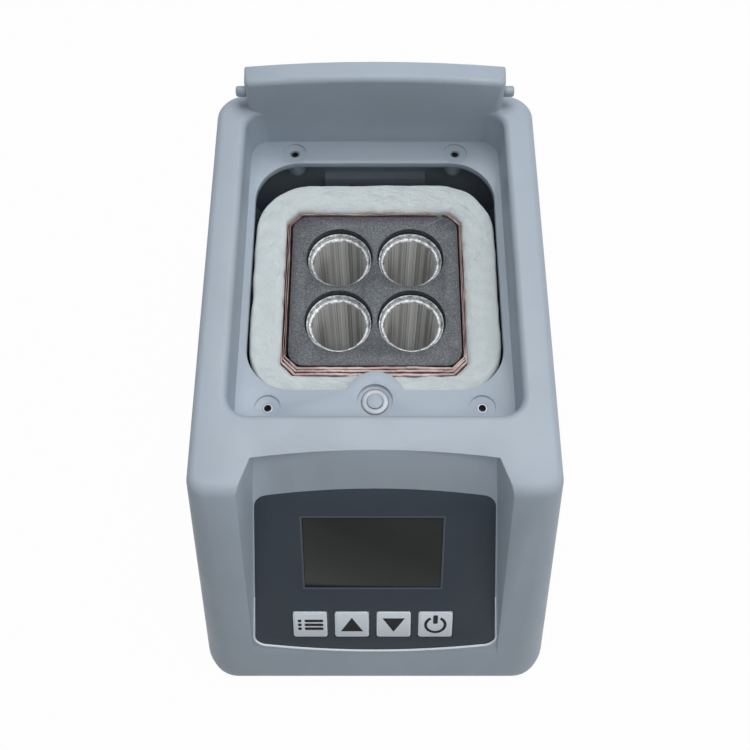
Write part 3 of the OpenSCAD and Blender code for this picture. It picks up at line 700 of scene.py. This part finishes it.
def wool_strands(count=1100, steps=5):
    """Loose fibres that lie on the wool in low arches, most of them along the ring."""
    dice = random.Random(5)
    bm = bmesh.new()
    for _ in range(count):
        a = dice.uniform(0, 2 * math.pi)
        across = dice.uniform(0.03, 0.93)
        heading = a + math.pi / 2 + dice.gauss(0, 0.45)
        length = dice.uniform(3, 11) * MM
        bend = dice.uniform(-0.5, 0.5)
        inner, outer = wool_edges(a)
        r = inner + (outer - inner) * across
        x, y = r * math.cos(a), r * math.sin(a)
        rows = []
        radius = dice.uniform(0.02, 0.045) * MM
        for k in range(steps + 1):
            inner, outer = wool_edges(math.atan2(y, x))
            t = (math.hypot(x, y) - inner) / (outer - inner)
            if not 0.01 < t < 0.95:
                break
            arch = STRAND_ARCH * math.sin(k * 0.63)
            z = wool_top(x, y, t) - wool_shoulder(t) + STRAND_LIE + arch
            side = Vector((-math.sin(heading), math.cos(heading), 0)) * radius
            ridge = Vector((0, 0, radius * 1.6))
            middle = Vector((x, y + BLOCK_Y, z))
            rows.append([bm.verts.new(middle + offset) for offset in (side, ridge, -side)])
            x += math.cos(heading) * length / steps
            y += math.sin(heading) * length / steps
            heading += bend / steps
        if len(rows) > 1:
            tube(bm, rows)
    loose = [v for v in bm.verts if not v.link_faces]
    bmesh.ops.delete(bm, geom=loose, context="VERTS")
    return mesh_piece("wool_strands", bm, strand_mat, "case")


wool = wool_ring()
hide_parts("fibre_wool")
wool_strands()


# Icons printed on the keys, as thin ink
INK = 0.06 * MM


def icon_menu(bm):
    for row in (-1, 0, 1):
        y = row * 2.35 * MM
        prism(bm, rounded_points(1.7 * MM, 1.6 * MM, 0.75 * MM, -4.7 * MM, y, 4), 0, INK)
        prism(bm, rounded_points(8.4 * MM, 1.5 * MM, 0.6 * MM, 1.7 * MM, y, 4), 0, INK)


def icon_up(bm):
    prism(bm, [(-5.0 * MM, -3.9 * MM), (5.0 * MM, -3.9 * MM), (0, 4.2 * MM)], 0, INK)


def icon_down(bm):
    prism(bm, [(-5.0 * MM, 3.9 * MM), (0, -4.2 * MM), (5.0 * MM, 3.9 * MM)], 0, INK)


def icon_power(bm):
    prism(bm, arc_band(4.4 * MM, 1.3 * MM, 120, 420), 0, INK)
    prism(bm, rounded_points(2.1 * MM, 5.0 * MM, 0.6 * MM, 0, 3.2 * MM, 4), 0, INK)


ICONS = {"menu": icon_menu, "up": icon_up, "down": icon_down, "power": icon_power}


def key_icons():
    ink = moulded("key_ink", linear(14, 15, 18), rough=0.7)
    for key, draw in ICONS.items():
        low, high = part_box("key_" + key)
        bm = bmesh.new()
        draw(bm)
        place = panel_matrix((low.x + high.x) / 2, KEY_U, KEY_PROUD)
        mesh_piece("icon_" + key, bm, ink, key + "_key", place)


key_icons()


# Pale printed outline round the display window
OUTLINE_WIDTH = 0.8 * MM
OUTLINE_THICK = 0.05 * MM


def outline_bar(bm, x, y, w, h):
    """A flat rectangle of ink, centred on x and y."""
    corners = [(x - w / 2, y - h / 2), (x + w / 2, y - h / 2),
               (x + w / 2, y + h / 2), (x - w / 2, y + h / 2)]
    prism(bm, corners, 0, OUTLINE_THICK)


def window_outline():
    ink = moulded("frame_ink", linear(74, 82, 92), rough=0.45)
    bm = bmesh.new()
    w, h = DISPLAY_SIZE
    line = OUTLINE_WIDTH
    for side in (1, -1):
        outline_bar(bm, 0, side * (h + line) / 2, w + 2 * line, line)
    for side in (1, -1):
        outline_bar(bm, side * (w + line) / 2, 0, line, h)
    place = panel_matrix(CONTROLS_X, DISPLAY_U)
    mesh_piece("window_outline", bm, ink, "case", place)


window_outline()


# Moulded lip round the lower half of the overlay
LIP_START_U = 78 * MM
CORNER_RISE = 0.9 * MM
LIP_FADE = 30


def overlay_edge(sides=40, turns=12, count=150):
    """Points down the right side of the overlay, along its bottom and up the left side."""
    r = OVERLAY_R
    share = (LIP_START_U - OVERLAY_TOP_U) / (OVERLAY_LOW_U - OVERLAY_TOP_U)
    start = Vector((OVERLAY_TOP_X + (OVERLAY_LOW_X - OVERLAY_TOP_X) * share, -LIP_START_U))
    corner_u = OVERLAY_LOW_U - OVERLAY_BOW
    end = Vector((OVERLAY_LOW_X, r - corner_u))
    across = OVERLAY_LOW_X - r
    points = [start.lerp(end, i / sides) for i in range(sides)]
    for i in range(turns + 1):
        a = math.radians(-90 * i / turns)
        points.append(Vector((across + r * math.cos(a), end.y + (r - CORNER_RISE) * math.sin(a))))
    bottom = []
    for i in range(1, count):
        x = across * (1 - 2 * i / count)
        sag = (OVERLAY_BOW - CORNER_RISE) * (1 - (x / across) ** 2)
        bottom.append(Vector((x, CORNER_RISE - corner_u - sag)))
    left = [Vector((-p.x, p.y)) for p in reversed(points)]
    return points + bottom + left


def panel_lip():
    """A low bead with a steep inner side, which catches the light from above; that side has a paler,
    glossier material, a painted highlight.
    """
    path = overlay_edge()
    bm = bmesh.new()
    rows = []
    for i, point in enumerate(path):
        along = (path[min(i + 1, len(path) - 1)] - path[max(i - 1, 0)]).normalized()
        out = Vector((along.y, -along.x)) * -1
        fade = min(1, i / LIP_FADE, (len(path) - 1 - i) / LIP_FADE)
        rows.append([])
        # Corners of the bead's section, as millimetres outward and up
        for away, rise in ((0.1, -0.2), (0.2, 0.66 * fade), (0.6, 0.74 * fade), (2.8, -0.02)):
            place = point + out * away * MM
            rows[-1].append(bm.verts.new((place.x, place.y, rise * MM)))
    # The two inner sides take material slot 1, the pale lip material: a painted highlight.
    tube(bm, rows, slots=(1, 1, 0, 0))
    lip = mesh_piece("panel_lip", bm, housing_mat, "case", panel_matrix(0, 0))
    # A paler, glossier copy of the housing plastic: a painted highlight on the bead's inner side.
    lip.data.materials.append(moulded("lip_painted_highlight", linear(240, 246, 252), rough=0.25))


panel_lip()


# Stage, light and camera
FLOOR_GLOW = 0.98
SKY_SEEN_BY_METAL = 0.45

# Each lamp's place, the point it faces, its width and height in metres, and its watts
LAMPS = {
    "overhead": ((0.12, 0.34, 1.15), (0, 0, 0.1), (0.9, 0.7), 8.1),
    "side": ((1.0, -0.25, 0.75), (0, 0, 0.08), (0.5, 0.7), 2.2),
    "front": ((-0.3, -1.2, 0.9), (0, 0, 0.08), (0.8, 0.6), 0.3),
    "near": ((0.02, -0.2, 0.5), (0, -0.06, 0.1), (0.2, 0.12), 0.32),
}


def mix_into(tree, output, share, first, second):
    """Gives an output the first shader, with a share of the second."""
    mix = tree.nodes.new("ShaderNodeMixShader")
    tree.links.new(share, mix.inputs["Fac"])
    tree.links.new(first.outputs[0], mix.inputs[1])
    tree.links.new(second.outputs[0], mix.inputs[2])
    tree.links.new(mix.outputs[0], tree.nodes[output].inputs["Surface"])


def stage():
    """A floor that the camera and reflections see as plain white, and that lights little."""
    bpy.ops.mesh.primitive_plane_add(size=12, location=(0, 0, 0))
    floor = bpy.context.object
    floor.name = "floor"
    mat = bpy.data.materials.new("floor")
    mat.use_nodes = True
    tree = mat.node_tree
    surface = tree.nodes["Principled BSDF"]
    surface.inputs["Base Color"].default_value = (0.5, 0.51, 0.52, 1)
    surface.inputs["Roughness"].default_value = 0.9
    paths = tree.nodes.new("ShaderNodeLightPath").outputs
    seen = math_node(tree, "MAXIMUM", paths["Is Camera Ray"], paths["Is Glossy Ray"])
    seen = math_node(tree, "MAXIMUM", seen, paths["Is Transmission Ray"])
    share = math_node(tree, "MULTIPLY", seen, FLOOR_GLOW)
    glow = tree.nodes.new("ShaderNodeEmission")
    glow.inputs["Color"].default_value = (1, 1, 1, 1)
    mix_into(tree, "Material Output", share, surface, glow)
    floor.data.materials.append(mat)


def world():
    """A dim even fill, white to the camera and half as bright to polished surfaces."""
    scene_world = bpy.data.worlds.new("studio")
    bpy.context.scene.world = scene_world
    scene_world.use_nodes = True
    tree = scene_world.node_tree
    fill = tree.nodes["Background"]
    fill.inputs["Color"].default_value = (0.93, 0.97, 1.0, 1)
    fill.inputs["Strength"].default_value = 0.19
    white = tree.nodes.new("ShaderNodeBackground")
    white.inputs["Color"].default_value = (1, 1, 1, 1)
    white.inputs["Strength"].default_value = 1.0
    paths = tree.nodes.new("ShaderNodeLightPath").outputs
    glossy = math_node(tree, "MULTIPLY", paths["Is Glossy Ray"], SKY_SEEN_BY_METAL)
    share = math_node(tree, "MAXIMUM", glossy, paths["Is Camera Ray"])
    mix_into(tree, "World Output", share, fill, white)


def area_light(name, place, target, size, power):
    light = bpy.data.lights.new(name, "AREA")
    light.shape = "RECTANGLE"
    light.size, light.size_y = size
    light.energy = power
    lamp = bpy.data.objects.new(name, light)
    lamp.location = place
    lamp.rotation_euler = (Vector(target) - Vector(place)).to_track_quat("-Z", "Y").to_euler()
    bpy.context.scene.collection.objects.link(lamp)


stage()
world()
for lamp_name, settings in LAMPS.items():
    area_light(lamp_name, *settings)


def add_camera():
    """The photograph's camera: in front of the part and above it, looking steeply down."""
    lens = bpy.data.cameras.new("camera")
    lens.sensor_width = 36
    lens.sensor_fit = "HORIZONTAL"
    lens.lens = 42.86
    camera = bpy.data.objects.new("camera", lens)
    camera.location = (0, -0.1677, 0.453)
    camera.rotation_euler = (math.radians(23.5), 0, 0)
    bpy.context.scene.collection.objects.link(camera)
    bpy.context.scene.camera = camera


add_camera()
bpy.context.scene.view_settings.view_transform = "Standard"
